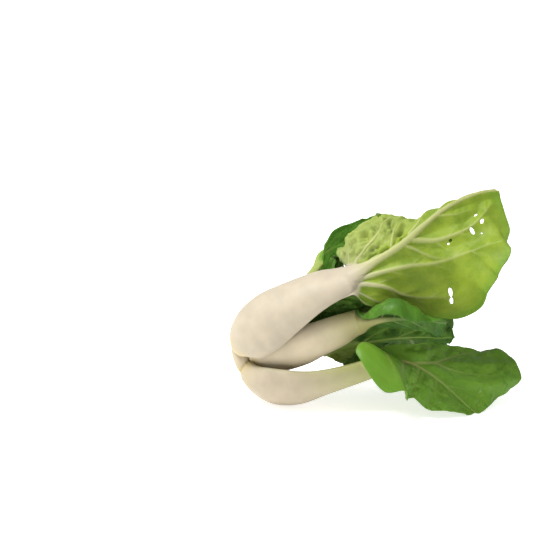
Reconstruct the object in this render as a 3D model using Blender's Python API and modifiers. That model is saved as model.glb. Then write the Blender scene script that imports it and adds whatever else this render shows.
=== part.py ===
"""A head of bok choy lying on its side: the cut stem base and its eleven leaves.

Metres, +Z up, resting on z = 0, the origin under the middle of the head.  Every leaf is one sheet
that follows a midrib; the midrib is described by stations round the axis of the head.
"""
import math

import bmesh
import bpy
import numpy as np

MM = 0.001

# The axis of the head: from the middle of the cut foot it turns toward -Y and rises toward the tips.
HEADING = math.radians(10.0)
PITCH = math.radians(23.8)
FOOT = np.array((-90.3, -16.5, 26.75))      # millimetres

BLADE_THICKNESS = 1.5                       # of the thin leaf sheet, mm
REST_HEIGHT = 1.55                          # lowest level of an upper leaf face, mm
TIP_EXTENSION = 60.0                        # the midrib runs on straight for swept margins, mm

# Stalk stations of each whorl: along the axis, out from the axis, half width, curl of a half.
STALKS = {
    "outer": ((5, 14, 10.5, 42), (8, 20, 14.5, 44), (17, 27.5, 18, 46), (31, 32, 19, 46),
              (50, 33, 17, 42), (74, 31.5, 13.5, 32), (92, 29, 12, 25)),
    "middle": ((12, 10.2, 7, 40), (19, 14.5, 11, 46), (29, 18, 15, 50), (45, 19.5, 15, 48),
               (60, 20, 13.5, 42), (75, 20, 11.5, 36), (88, 20, 10, 30)),
    "inner": ((15.5, 6.7, 4, 34), (19, 8.7, 5.4, 36), (24, 10.5, 6.6, 38), (30, 11.5, 7.4, 38),
              (37, 12.3, 7.4, 36), (44, 13, 7, 32), (50, 13.5, 6.5, 28)),
    "heart": ((20, 1.2, 2.5, 10), (28, 1.5, 4, 15), (40, 1.8, 5.5, 20), (52, 2, 6, 25),
              (64, 2, 6, 25), (74, 2.2, 5.5, 20), (82, 2.4, 5, 20)),
}
# Midrib thickness near the root, at a third of the stalk and at its neck, mm.
RIB = {"outer": (6.5, 8.0, 6.5), "middle": (6.5, 8.0, 6.5), "inner": (4, 5, 4), "heart": (2.5, 3, 2.5)}

# A blade station is: along, out, turn round the axis, direction faced, fold, lean along the axis.
# A half row is: width, curl of its inner part, curl of its outer part, sweep toward the tip.
OUTER_TOP = {
    "whorl": "outer", "turn": (60, 60, 60, 61, 62, 64, 66),
    "out": (14, 20.5, 28, 32.5, 34.5, 34.5, 31.5),
    "minus_stalk": ((12, 48), (21, 60), (28.5, 72), (29.5, 74), (24.5, 66), (18, 48), (15, 30)),
    "spine": ((104.5, 32.5, 68, 49, -4, 0), (114.5, 34, 71, 31, -4, 0), (129, 36.5, 73, 23, 7, 0),
              (140.5, 38.7, 77.5, 27, 16, 0), (151.5, 42, 82, 39, 20, 0), (164, 45, 89, 47, 25, 0),
              (178, 46.5, 97, 58, 31, 0), (190, 46.5, 104, 64, 32, 0), (199.5, 45, 110.5, 63, 30, 0)),
    "minus": ((25, 55, 50, -8), (41, 55, 45, -9), (58, 28, 28, -6), (64, 8, 6, -3), (61, -11, -5, 0),
              (58, -21, -6, 6), (51, -25, -5, 9), (36, -22, -2, 8), (12, -10, 0, 2)),
    "plus": ((34, 2, 12, -17), (44, 5, 32, -21), (47, 24, 50, -14), (53, 34, 54, -3), (53, 62, 55, 4),
             (50, 58, 46, 7), (44, 40, 40, 7), (30, 29, 24, 4), (9, 10, 10, 0)),
}
OUTER_BOTTOM = {
    "whorl": "outer", "along": (3, 7, 16, 30, 50, 80, 92), "turn": (-52, -52, -54, -57, -60, -65, -67),
    "face": (-52, -52, -54, -57, -60, -64, -67), "out": (14, 22, 31, 35.5, 36, 36.5, 36.5),
    "half": (10.5, 14.5, 18, 19, 15, 12.5, 11.5), "neck_fold": (6, 64),
    "plus_stalk": ((16, 66), (20.5, 60), (25, 60), (24, 54), (16.5, 44), (12.5, 32), (11.5, 25)),
    "spine": ((99, 36.5, -71, -78, 36, 0), (108, 40.5, -77.5, -103, 20, 0), (116, 49.5, -81.5, -122, 10, 0),
              (123, 61, -83, -137.5, 8, 0), (129.6, 74.2, -83.4, -144, 6, 0),
              (135.8, 87.2, -83.4, -149, -6, 0)),
    "minus": ((13, -5, -10, 8.5), (26, -9, -10, 12), (41, -7, -8, 17.5), (51, -2, -10, 18), (43, 5, -13, 23),
              (9, -9, -12, 4)),
    "roll": ((12.5, 20, 5, 0), (42, -46, -100, -9)),
    "plus": ((46, -80, -58, -10), (25, -50, -20, 14), (24, -30, -18, 16), (17, -12, -13, 13),
             (9, -4, -5, 8), (5.5, 0, 0, 0)),
}
OUTER_BACK = {
    "whorl": "outer", "turn": (180, 180, 180, 180, 181, 184, 188), "out": (14, 20, 27.5, 32, 33, 33, 34),
    "spine": ((97, 39, 196, 198, 3, -.7), (101, 48, 206, 210, 5, -1.3), (102, 59, 213, 220, 6, -1.8),
              (102, 71, 218, 226, 6, -2.1), (101, 83, 221, 230, 4, -2.3), (101, 92, 222, 230, 0, -2.3)),
    "minus": ((22, 5, 5, -4), (32, 5, 10, -2), (35, 5, 15, 1), (32, 5, 15, 3), (23, 0, 10, 3), (6, 0, 0, 0)),
    "plus": ((22, 5, 5, -4), (32, 5, 10, -2), (35, 5, 15, 1), (31, 5, 15, 2), (21, 0, 10, 2), (6, 0, 0, 0)),
}
MIDDLE_FRONT = {
    "whorl": "middle", "turn": (3, 3, 3, 3, 2, -1, -7), "out": (10.2, 14.5, 18, 19.8, 19, 16, 13),
    "along": (13, 19.5, 29, 45, 60, 75, 88),
    "minus_stalk": ((6.5, 40), (11, 46), (16, 50), (16.5, 48), (14, 42), (12, 36), (8.5, 30)),
    "plus_stalk": ((6.5, 40), (11, 46), (13, 50), (9.5, 48), (7, 42), (7.5, 36), (8.5, 30)),
    "spine": ((98, 15.5, -10, 0, 5, 0), (108, 19.5, -13, 2, 8, 0), (118, 23, -18, 2, 8, 0),
              (127, 25, -26, -4, 6, 0), (135, 27, -35, -14, 0, 0), (142, 29, -44, -20, 0, 0)),
    "minus": ((6, 20, 10, -2), (7, 15, 10, 0), (9, 25, 15, 4), (12, 25, 10, 6), (12, 10, 10, 6),
              (6, 0, 0, 0)),
    "plus": ((15, -60, -110, -2), (29, -72, -108, -2), (36, -66, -106, -2), (25, -85, -80, -3),
             (9, -70, -50, -1), (4, -40, 0, 0)),
}
MIDDLE_BACK = {
    "whorl": "middle", "turn": (122, 122, 122, 124, 127, 130, 134),
    "face": (122, 122, 122, 122, 123, 126, 134),
    "along": (12, 19, 29, 42, 53, 61, 67), "out": (10.2, 14.5, 18, 21, 27, 34.5, 43),
    "half": (7, 11, 15, 15, 12.5, 11.5, 10), "neck_lean": -.3,
    "spine": ((70, 55.5, 137, 148, 0, -.8), (73.5, 66, 144, 166, 3, -1.4), (77, 77.5, 151.5, 182, 5, -2),
              (78.5, 89.5, 158, 190, 6, -2), (79, 101, 163.5, 194, 6, -2), (78.5, 111.5, 168, 196, 6, -2)),
    "minus": ((18, 5, 5, -4), (28, 5, 5, -2), (35, 5, 5, 2), (36, 5, 5, 5), (28, 5, 5, 5), (6, 0, 0, 0)),
    "plus": ((18, 10, 10, -4), (26, 15, 15, -2), (29, 20, 20, 2), (29, 20, 20, 5), (22, 10, 10, 5),
             (6, 0, 0, 0)),
}
# Small leaves share one outline; their entry is: stalk turn, blade path, widths, curls, fold.
SMALL_OUTLINE = ((.5, -6), (.88, -2), (1, 1.8), (.93, 4.5), (.65, 3.8), (.14, 0))
INNER_BELOW = {
    "whorl": "inner", "turn": (-133, -133, -133, -134, -136, -138, -141), "fold": 10,
    "path": ((62, 15, -144, -142), (78, 18, -147, -144), (95, 23, -150, -147), (112, 30, -153, -150),
             (127, 37, -155, -152), (141, 45, -157, -154)),
    "widths": (10, 22), "curls": (20, 30, 15, 20),
}
INNER_BACK = {
    "whorl": "inner", "turn": (150, 150, 150, 149, 147, 146, 145), "fold": 12,
    "path": ((60, 17, 141, 142), (66.5, 21, 136, 138), (72, 26.5, 130, 134), (76.5, 32.5, 125, 130),
             (80, 39, 121, 127), (82.5, 45, 118, 124)),
    "widths": (10, 10), "curls": (15, 20, 20, 30),
}
INNER_TOP = {
    "whorl": "inner", "turn": (65, 65, 65, 65, 66, 68, 70), "fold": 12,
    "path": ((60, 16, 71, 50), (72, 18, 75, 38), (85, 19.5, 80, 34), (99, 21, 86, 34), (112, 23, 90, 40),
             (125, 25, 92, 48)),
    "widths": (15, 8), "curls": (5, -10, 5, -15),
}
INNER_FRONT = {
    "whorl": "inner", "turn": (-57, -57, -57, -58, -60, -62, -65),
    "spine": ((62, 14.5, -70, -30, 0, 0), (78, 17, -79, -14, 0, 0), (95, 20.5, -87, -14, 0, 0),
              (111, 26, -94, -20, 0, 0), (126, 32.5, -100, -30, 0, 0), (139, 39.5, -104, -40, 0, 0)),
    "minus": ((13, 5, 5, -6), (18, 5, 5, -4), (8, 10, 10, -2), (3, 10, 10, 3), (4, 10, 10, 3), (3, 0, 0, 0)),
    "plus": ((6, 5, 5, -4), (10, -10, -20, -2), (16, -10, -30, 0), (18, -10, -30, 4), (14, -10, -30, 4),
             (4, 0, 0, 0)),
}
HEART_FRONT = {
    "whorl": "heart", "turn": (-10,) * 7, "fold": 0,
    "path": ((90, 2.5, -10, -10), (96, 2.7, -10, -10), (102, 2.8, -10, -10), (108, 2.9, -10, -10),
             (113, 3, -10, -10), (118, 3.1, -10, -10)),
    "widths": (8, 8), "curls": (6, 8, 6, 8),
}
HEART_BACK = {
    "whorl": "heart", "turn": (170,) * 7, "fold": 0,
    "path": ((92, 2.5, 170, 170), (102, 3, 170, 170), (112, 3.5, 170, 170), (121, 4, 170, 170),
             (130, 5, 170, 170), (138, 6, 170, 170)),
    "widths": (10, 10), "curls": (6, 8, 6, 8),
}

# Name, description, rows and columns of the sheet, colour of its material.
LEAVES = (
    ("outer_leaf_top", OUTER_TOP, 26, 15, (0.30, 0.42, 0.09)),
    ("outer_leaf_bottom", OUTER_BOTTOM, 24, 15, (0.17, 0.32, 0.06)),
    ("outer_leaf_back", OUTER_BACK, 22, 13, (0.22, 0.36, 0.08)),
    ("middle_leaf_front", MIDDLE_FRONT, 22, 15, (0.62, 0.60, 0.36)),
    ("middle_leaf_back", MIDDLE_BACK, 20, 11, (0.12, 0.25, 0.05)),
    ("inner_leaf_below", INNER_BELOW, 16, 9, (0.20, 0.34, 0.08)),
    ("inner_leaf_back", INNER_BACK, 16, 9, (0.21, 0.35, 0.08)),
    ("inner_leaf_top", INNER_TOP, 16, 9, (0.20, 0.33, 0.08)),
    ("inner_leaf_front", INNER_FRONT, 16, 9, (0.18, 0.32, 0.07)),
    ("heart_leaf_front", HEART_FRONT, 14, 7, (0.45, 0.55, 0.20)),
    ("heart_leaf_back", HEART_BACK, 14, 7, (0.45, 0.55, 0.20)),
)

# Stem base outline: along the axis, out from the axis, mm.
STEM_OUTLINE = ((-3.2, 0), (-3.2, 12.6), (-0.5, 13.2), (4.6, 13.4), (7.8, 14.8), (11.4, 9.6), (13.0, 9.2),
                (15.0, 6.3), (17.5, 5.0), (19.4, 4.4), (19.4, 0))
STEM_SIDES = 32
STEM_BEVEL = 0.8                            # mm
STEM_COLOUR = (0.72, 0.66, 0.46)


def unit(rows):
    return rows / np.linalg.norm(rows, axis=-1, keepdims=True)


AXIS = np.array((math.cos(PITCH) * math.cos(HEADING), -math.cos(PITCH) * math.sin(HEADING), math.sin(PITCH)))
UP = unit(np.array((0.0, 0.0, 1.0)) - AXIS[2] * AXIS)
FRONT = np.cross(AXIS, UP)


def clear_scene():
    for item in list(bpy.data.objects):
        bpy.data.objects.remove(item, do_unlink=True)


def new_collection(name):
    collection = bpy.data.collections.new(name)
    bpy.context.scene.collection.children.link(collection)
    return collection


def material(name, colour):
    made = bpy.data.materials.new(name)
    made.use_nodes = True
    shader = made.node_tree.nodes["Principled BSDF"]
    shader.inputs["Base Color"].default_value = (*colour, 1.0)
    shader.inputs["Roughness"].default_value = 0.5
    return made


def radial(turn):
    """Unit vectors square to the axis: 0 degrees toward the front, 90 degrees upward."""
    angle = np.radians(turn)
    return np.multiply.outer(np.cos(angle), FRONT) + np.multiply.outer(np.sin(angle), UP)


def through(knots, values, t, steady=False):
    """Smooth curve through the values at the knots, read at t; a steady one never swings past a knot."""
    step = np.diff(knots)[:, None]
    slope = np.diff(values, axis=0) / step
    middle = (slope[:-1] * step[1:] + slope[1:] * step[:-1]) / (step[1:] + step[:-1])
    if steady:
        gentle = 1.7 * np.minimum(np.abs(slope[:-1]), np.abs(slope[1:]))
        same_way = slope[:-1] * slope[1:] > 0
        middle = np.where(same_way, np.sign(middle) * np.minimum(np.abs(middle), gentle), 0.0)
    tangent = np.vstack((slope[:1], middle, slope[-1:]))
    i = np.clip(np.searchsorted(knots, t, side="right") - 1, 0, len(knots) - 2)
    span = (knots[i + 1] - knots[i])[:, None]
    x = (t - knots[i])[:, None] / span
    near = (1 + 2 * x) * (1 - x) ** 2 * values[i] + x * (1 - x) ** 2 * span * tangent[i]
    far = x * x * (3 - 2 * x) * values[i + 1] + x * x * (x - 1) * span * tangent[i + 1]
    return near + far


def stalk_rows(leaf):
    """Spine, half rows and midrib halves of the stalk: the whorl's own unless the leaf states others."""
    base = np.array(STALKS[leaf["whorl"]], float)
    turn = np.array(leaf["turn"], float)
    along = leaf.get("along", base[:, 0])
    out = leaf.get("out", base[:, 1])
    fold = np.zeros(len(base))
    fold[-2:] = leaf.get("neck_fold", (0, 0))
    lean = np.zeros(len(base))
    lean[-1] = leaf.get("neck_lean", 0.0)
    spine = np.column_stack((along, out, turn, leaf.get("face", turn), fold, lean))
    base[:, 2] = leaf.get("half", base[:, 2])
    halves = []
    for key in ("minus_stalk", "plus_stalk"):
        half, curl = np.array(leaf.get(key, base[:, 2:]), float).T
        halves.append(np.column_stack((half, 0.5 * curl, 0.5 * curl, np.zeros(len(base)))))
    return spine, halves[0], halves[1], 0.5 * (halves[0][:, 0] + halves[1][:, 0])


def small_blade(leaf):
    """Blade rows of a small leaf from the shared outline."""
    share = np.array(SMALL_OUTLINE)
    count = len(share)
    path = np.array(leaf["path"], float)
    spine = np.column_stack((path, np.full(count, leaf["fold"]), np.zeros(count)))
    halves = []
    for side in (0, 1):
        width = leaf["widths"][side] * share[:, 0]
        inner, outer = leaf["curls"][2 * side:2 * side + 2]
        halves.append(np.column_stack((width, np.full(count, inner), np.full(count, outer), share[:, 1])))
    return spine, halves[0], halves[1]


def leaf_rows(leaf):
    """All station rows of a leaf: spine, minus half, plus half, and the midrib's halves on the stalk."""
    spine, minus_half, plus_half, rib_half = stalk_rows(leaf)
    if "roll" in leaf:
        plus_half[-2:] = leaf["roll"]
    if "path" in leaf:
        blade, minus, plus = small_blade(leaf)
    else:
        blade, minus, plus = (np.array(leaf[key], float) for key in ("spine", "minus", "plus"))
    return np.vstack((spine, blade)), np.vstack((minus_half, minus)), np.vstack((plus_half, plus)), rib_half


def extended(rows):
    return np.vstack((rows, rows[-1:]))


def midrib(leaf, samples=300):
    """Dense midrib: a smooth curve through the stations, with the leaf's directions turned along it."""
    spine, minus, plus, rib_half = leaf_rows(leaf)
    points = FOOT + spine[:, :1] * AXIS + spine[:, 1:2] * radial(spine[:, 2])
    knots = np.concatenate(((0.0,), np.cumsum(np.linalg.norm(np.diff(points, axis=0), axis=1))))
    t = np.linspace(0, knots[-1], samples)
    position = through(knots, points, t)
    x = np.concatenate(((0.0,), np.cumsum(np.linalg.norm(np.diff(position, axis=0), axis=1))))
    along = unit(np.gradient(position, x, axis=0))
    across = through(knots, radial(spine[:, 3] + 90.0) + spine[:, 5:6] * AXIS, t)
    across = unit(across - (across * along).sum(1)[:, None] * along)
    values = np.column_stack((spine[:, 4], minus, plus))
    values[:, (1, 5)] **= 2
    values = through(knots, values, t, steady=True)
    values[:, (1, 5)] = np.sqrt(np.clip(values[:, (1, 5)], 0.04, None))
    stalk_x = np.interp(knots[:len(rib_half)], t, x)
    rib = rib_sizes(leaf, x, stalk_x, rib_half)
    beyond = np.vstack((position, position[-1] + TIP_EXTENSION * along[-1]))
    return {"x": np.append(x, x[-1] + TIP_EXTENSION), "length": x[-1], "position": beyond,
            "across": extended(across), "inward": extended(np.cross(across, along)),
            "values": extended(values), "rib": extended(rib)}


def rib_sizes(leaf, x, stalk_x, rib_half):
    """Half width and thickness of the midrib, and how far it spreads to the margins: all of the way on the
    stalk.  They fall off quickly beyond the neck and slowly on to the tip."""
    neck = stalk_x[-1]
    beyond = np.clip(x - neck, 0, None)
    left = 1 - beyond / (x[-1] - neck)
    half = np.interp(x, stalk_x, rib_half)
    half = np.where(beyond > 0, 0.7 + (half - 3.1) * np.exp(-(beyond / 10) ** 1.4) + 2.4 * left ** 1.5, half)
    thick = RIB[leaf["whorl"]]
    stalk_thick = np.interp(x, (0, 0.35 * neck, neck), thick)
    falling = left * (0.4 + 0.6 * np.exp(-(beyond / 15) ** 1.4))
    blade_thick = BLADE_THICKNESS + (thick[2] - BLADE_THICKNESS) * falling
    spread = np.clip((neck + 2 - x) / 14, 0, 1)
    return np.column_stack((half, np.where(beyond > 0, blade_thick, stalk_thick), spread))


def rounded(width, full, rib_half, spread):
    """Share of the midrib's thickness at a place across the leaf: 1 in the middle, 0 where the rib ends."""
    reach = rib_half + spread * np.clip(full - rib_half, 0, None)
    return np.clip(1 - (width / reach) ** 2, 0, None) ** (0.75 - 0.25 * spread)


def read(rib, key, x):
    rows = rib[key]
    return np.stack([np.interp(x, rib["x"], rows[:, i]) for i in range(rows.shape[1])], -1)


def sheet(rib, u, v):
    """Upper leaf face and leaf thickness at u along (0..1) and v across (-1..1)."""
    x0 = rib["length"] * (1 - (1 - u) ** 1.25)
    side = np.sign(v)
    share = np.abs(v) ** 1.3
    row = read(rib, "values", x0)
    minus = (v < 0)[:, None]
    half = np.where(minus, row[:, 1:5], row[:, 5:9])
    width = half[:, 0] * share
    x = np.clip(x0 + half[:, 3] * share ** 1.5, 0, rib["length"] + TIP_EXTENSION)
    middle = 0.5 * half[:, 0]
    near = np.minimum(width, middle)
    far = width - near
    start = np.radians(row[:, 0])
    bend_near = np.radians(half[:, 1]) / middle * near
    bend_far = np.radians(half[:, 2]) / middle * far
    chord_near = near * np.sinc(bend_near / math.tau)
    chord_far = far * np.sinc(bend_far / math.tau)
    angle_near = start + bend_near / 2
    angle_far = start + bend_near + bend_far / 2
    out = side * (chord_near * np.cos(angle_near) + chord_far * np.cos(angle_far))
    inn = chord_near * np.sin(angle_near) + chord_far * np.sin(angle_far)
    point = read(rib, "position", x) + out[:, None] * read(rib, "across", x)
    point += inn[:, None] * read(rib, "inward", x)
    rib_half, rib_thick, spread = read(rib, "rib", x0).T
    bulge = rounded(width, half[:, 0], rib_half, spread)
    return point, BLADE_THICKNESS + np.clip(rib_thick - BLADE_THICKNESS, 0, None) * bulge


def laid_down(point):
    """Lift what would go below the surface so that it lies along it."""
    soft = 1.5
    height = point[:, 2] - REST_HEIGHT
    lifted = 0.5 * (height + np.sqrt(height ** 2 + soft ** 2))
    point[:, 2] = REST_HEIGHT + np.where(height > 4 * soft, height, lifted)
    return point


def build_leaf(collection, name, leaf, rows, columns, colour):
    """A flat grid bent along the midrib, thickened outward by Solidify."""
    mesh = bpy.data.meshes.new(name)
    grid = bmesh.new()
    bmesh.ops.create_grid(grid, x_segments=rows - 1, y_segments=columns - 1, size=1.0)
    grid.to_mesh(mesh)
    grid.free()
    flat = np.empty(len(mesh.vertices) * 3)
    mesh.vertices.foreach_get("co", flat)
    flat = flat.reshape(-1, 3)
    point, thickness = sheet(midrib(leaf), 0.5 * (flat[:, 0] + 1.0), flat[:, 1])
    mesh.vertices.foreach_set("co", (laid_down(point) * MM).ravel())
    mesh.polygons.foreach_set("use_smooth", np.ones(len(mesh.polygons), bool))
    mesh.materials.append(material(name, colour))
    made = bpy.data.objects.new(name, mesh)
    collection.objects.link(made)
    thickest = float(thickness.max())
    group = made.vertex_groups.new(name="thickness")
    for index, value in enumerate(thickness):
        group.add((index,), float(value) / thickest, "REPLACE")
    solid = made.modifiers.new("thickness", "SOLIDIFY")
    solid.thickness = thickest * MM
    solid.offset = 1.0
    solid.vertex_group = "thickness"


def build_stem(collection):
    """The stem outline turned round the axis of the head."""
    mesh = bpy.data.meshes.new("stem_base")
    outline = bmesh.new()
    corners = [outline.verts.new((FOOT + along * AXIS + out * FRONT) * MM) for along, out in STEM_OUTLINE]
    for first, second in zip(corners[:-1], corners[1:]):
        outline.edges.new((first, second))
    bmesh.ops.spin(outline, geom=outline.verts[:] + outline.edges[:], cent=FOOT * MM, axis=AXIS,
                   angle=math.tau, steps=STEM_SIDES, use_merge=True, use_duplicate=False)
    bmesh.ops.remove_doubles(outline, verts=outline.verts[:], dist=1e-6)
    bmesh.ops.recalc_face_normals(outline, faces=outline.faces[:])
    outline.to_mesh(mesh)
    outline.free()
    mesh.polygons.foreach_set("use_smooth", np.ones(len(mesh.polygons), bool))
    mesh.materials.append(material("stem_base", STEM_COLOUR))
    made = bpy.data.objects.new("stem_base", mesh)
    collection.objects.link(made)
    bevel = made.modifiers.new("rounded rim", "BEVEL")
    bevel.width = STEM_BEVEL * MM
    bevel.segments = 2
    bevel.limit_method = "ANGLE"
    bevel.angle_limit = math.radians(50)


clear_scene()
HEAD = new_collection("bok_choy")
build_stem(HEAD)
for entry in LEAVES:
    build_leaf(HEAD, *entry)
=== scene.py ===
"""The looks of a bok choy head that lies on its side.  Lengths are in millimetres until a mesh is made."""
import math

import bpy
import numpy as np
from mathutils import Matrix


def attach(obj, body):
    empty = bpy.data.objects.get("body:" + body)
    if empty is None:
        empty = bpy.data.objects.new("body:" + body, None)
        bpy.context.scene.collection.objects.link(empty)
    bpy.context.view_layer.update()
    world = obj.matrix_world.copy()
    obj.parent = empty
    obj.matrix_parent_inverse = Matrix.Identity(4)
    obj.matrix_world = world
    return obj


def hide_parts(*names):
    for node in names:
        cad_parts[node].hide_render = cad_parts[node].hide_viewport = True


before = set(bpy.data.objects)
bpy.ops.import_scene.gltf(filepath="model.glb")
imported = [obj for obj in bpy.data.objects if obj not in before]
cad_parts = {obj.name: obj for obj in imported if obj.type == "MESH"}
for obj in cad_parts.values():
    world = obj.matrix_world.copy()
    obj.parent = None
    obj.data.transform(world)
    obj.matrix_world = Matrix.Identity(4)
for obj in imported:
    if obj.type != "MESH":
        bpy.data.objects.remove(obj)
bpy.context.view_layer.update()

# ---------------------------------------------------------------------------------------------
# Stem base: the short solid stem that every leaf grows from, cut square with a knife.
# It is pale dense flesh, dry and slightly browned on the cut, where fine rings show.  The head's axis
# runs through its middle, and every leaf is placed along and round that axis.
# ---------------------------------------------------------------------------------------------
MM = 0.001
HEADING = math.radians(10.0)                # turn of the axis toward the front, seen from above
PITCH = math.radians(23.8)                  # rise of the axis from the root to the leaf tips
FOOT = np.array((-90.3, -16.5, 26.75))      # where the axis starts, just inside the cut face
CUT_FACE = -2.9                             # flesh lower than this along the axis is the cut face

# Half of the stem's outline: along the axis, out from the axis.
STEM_OUTLINE = ((-3.2, 0.4), (-3.0, 6), (-3.2, 10.2), (-2.9, 11.7), (-2.0, 13.2), (-0.4, 14.5), (1.6, 15.3),
                (3.8, 15.6), (5.8, 15.6), (7.6, 15.0), (11.4, 9.6), (13.0, 9.2), (15.0, 6.3), (17.5, 5.0),
                (19.2, 4.4), (19.4, 0.4))


def unit(rows):
    """Each row divided by its length."""
    return rows / np.linalg.norm(rows, axis=-1, keepdims=True)


AXIS = np.array((math.cos(PITCH) * math.cos(HEADING), -math.cos(PITCH) * math.sin(HEADING), math.sin(PITCH)))
UP = unit(np.array((0.0, 0.0, 1.0)) - AXIS[2] * AXIS)
FRONT = np.cross(AXIS, UP)


def radial(turn):
    """Unit vectors square to the axis: 0 degrees toward the front, 90 degrees upward."""
    angle = np.radians(turn)
    return np.multiply.outer(np.cos(angle), FRONT) + np.multiply.outer(np.sin(angle), UP)


def wander(x, y, size, seed):
    """Gentle random hills from -1 to 1: random heights on a square net of that size, joined by smooth steps.
    The net repeats after 64 squares, and starts ten repeats back so that no place has a negative number."""
    net = 64
    heights = np.random.default_rng(seed).uniform(-1.0, 1.0, (net, net))
    column = x / size + 10.0 * net
    row = y / size + 10.0 * net
    i = np.floor(column).astype(int)
    j = np.floor(row).astype(int)
    s = column - i
    t = row - j
    s = s * s * (3 - 2 * s)
    t = t * t * (3 - 2 * t)
    i0, i1, j0, j1 = i % net, (i + 1) % net, j % net, (j + 1) % net
    near = heights[i0, j0] * (1 - s) + heights[i1, j0] * s
    far = heights[i0, j1] * (1 - s) + heights[i1, j1] * s
    return near * (1 - t) + far * t


def paint(red, green, blue):
    """Screen colour, 0 to 255, as the linear colour that a shader takes."""
    screen = np.array((red, green, blue)) / 255.0
    linear = np.where(screen <= 0.04045, screen / 12.92, ((screen + 0.055) / 1.055) ** 2.4)
    return (*(float(value) for value in linear), 1.0)


def add_mesh(name, points, quads, values):
    """Mesh from points in millimetres and four corner numbers a face.  Values are named, with one number a
    point."""
    mesh = bpy.data.meshes.new(name)
    mesh.vertices.add(len(points))
    mesh.vertices.foreach_set("co", (points * MM).ravel())
    mesh.loops.add(quads.size)
    mesh.loops.foreach_set("vertex_index", quads.ravel().astype(np.int32))
    mesh.polygons.add(len(quads))
    mesh.polygons.foreach_set("loop_start", np.arange(0, quads.size, 4, dtype=np.int32))
    mesh.update(calc_edges=True)
    mesh.polygons.foreach_set("use_smooth", np.ones(len(quads), bool))
    for key, numbers in values.items():
        attribute = mesh.attributes.new(key, "FLOAT", "POINT")
        attribute.data.foreach_set("value", numbers.astype(np.float32))
    mesh.update()
    made = bpy.data.objects.new(name, mesh)
    bpy.context.scene.collection.objects.link(made)
    return made


class Paintbox:
    """A material's node tree, with one short call for each kind of node that the head needs."""

    def __init__(self, name):
        self.material = bpy.data.materials.new(name)
        self.material.use_nodes = True
        self.tree = self.material.node_tree
        self.shader = self.tree.nodes["Principled BSDF"]

    def put(self, socket, value):
        """Joins another node's output to the socket, or sets the socket to a plain value."""
        if isinstance(value, bpy.types.NodeSocket):
            self.tree.links.new(value, socket)
        else:
            socket.default_value = value

    def number(self, name):
        """The number of that name that the mesh holds at each point."""
        node = self.tree.nodes.new("ShaderNodeAttribute")
        node.attribute_name = name
        return node.outputs["Fac"]

    def place(self):
        """The place in space, in metres."""
        return self.tree.nodes.new("ShaderNodeTexCoord").outputs["Object"]

    def flat_place(self, scale=(1.0, 1.0, 1.0)):
        """The place on the leaf laid flat, stretched by scale."""
        source = self.tree.nodes.new("ShaderNodeUVMap")
        source.uv_map = FLAT_MAP
        node = self.tree.nodes.new("ShaderNodeMapping")
        self.put(node.inputs["Vector"], source.outputs["UV"])
        node.inputs["Scale"].default_value = scale
        return node.outputs["Vector"]

    def noise(self, vector, scale, detail):
        """Cloudy pattern; more detail adds finer clouds to it."""
        node = self.tree.nodes.new("ShaderNodeTexNoise")
        self.put(node.inputs["Vector"], vector)
        node.inputs["Scale"].default_value = scale
        node.inputs["Detail"].default_value = detail
        node.inputs["Roughness"].default_value = 0.55
        return node.outputs["Fac"]

    def warped(self, vector, scale, distance):
        """The place pushed about by a soft noise, a different way in each direction."""
        noise = self.tree.nodes.new("ShaderNodeTexNoise")
        self.put(noise.inputs["Vector"], vector)
        noise.inputs["Scale"].default_value = scale
        node = self.tree.nodes.new("ShaderNodeVectorMath")
        node.operation = "MULTIPLY_ADD"
        self.put(node.inputs[0], noise.outputs["Color"])
        node.inputs[1].default_value = (distance, distance, 0.0)
        self.put(node.inputs[2], vector)
        return node.outputs["Vector"]

    def cells(self, vector, scale):
        """Distance to the border between neighbouring cells."""
        node = self.tree.nodes.new("ShaderNodeTexVoronoi")
        node.voronoi_dimensions = "2D"
        node.feature = "DISTANCE_TO_EDGE"
        self.put(node.inputs["Vector"], vector)
        node.inputs["Scale"].default_value = scale
        return node.outputs["Distance"]

    def band(self, value, low, high, start=0.0, end=1.0):
        """Smooth change from start to end while the value goes from low to high."""
        node = self.tree.nodes.new("ShaderNodeMapRange")
        node.interpolation_type = "SMOOTHSTEP"
        keys = ("Value", "From Min", "From Max", "To Min", "To Max")
        for key, item in zip(keys, (value, low, high, start, end)):
            self.put(node.inputs[key], item)
        return node.outputs["Result"]

    def maths(self, kind, first, second):
        """One sum with two numbers, such as MULTIPLY."""
        node = self.tree.nodes.new("ShaderNodeMath")
        node.operation = kind
        self.put(node.inputs[0], first)
        self.put(node.inputs[1], second)
        return node.outputs[0]

    def mix(self, share, first, second):
        """Blend of two colours: the first at share 0 and the second at share 1."""
        node = self.tree.nodes.new("ShaderNodeMix")
        node.data_type = "RGBA"
        self.put(node.inputs["Factor"], share)
        self.put(node.inputs["A"], first)
        self.put(node.inputs["B"], second)
        return node.outputs["Result"]

    def bump(self, height, distance, strength):
        """Fine relief that is only in the shading."""
        node = self.tree.nodes.new("ShaderNodeBump")
        node.inputs["Distance"].default_value = distance
        node.inputs["Strength"].default_value = strength
        self.put(node.inputs["Height"], height)
        self.put(self.shader.inputs["Normal"], node.outputs["Normal"])


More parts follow.
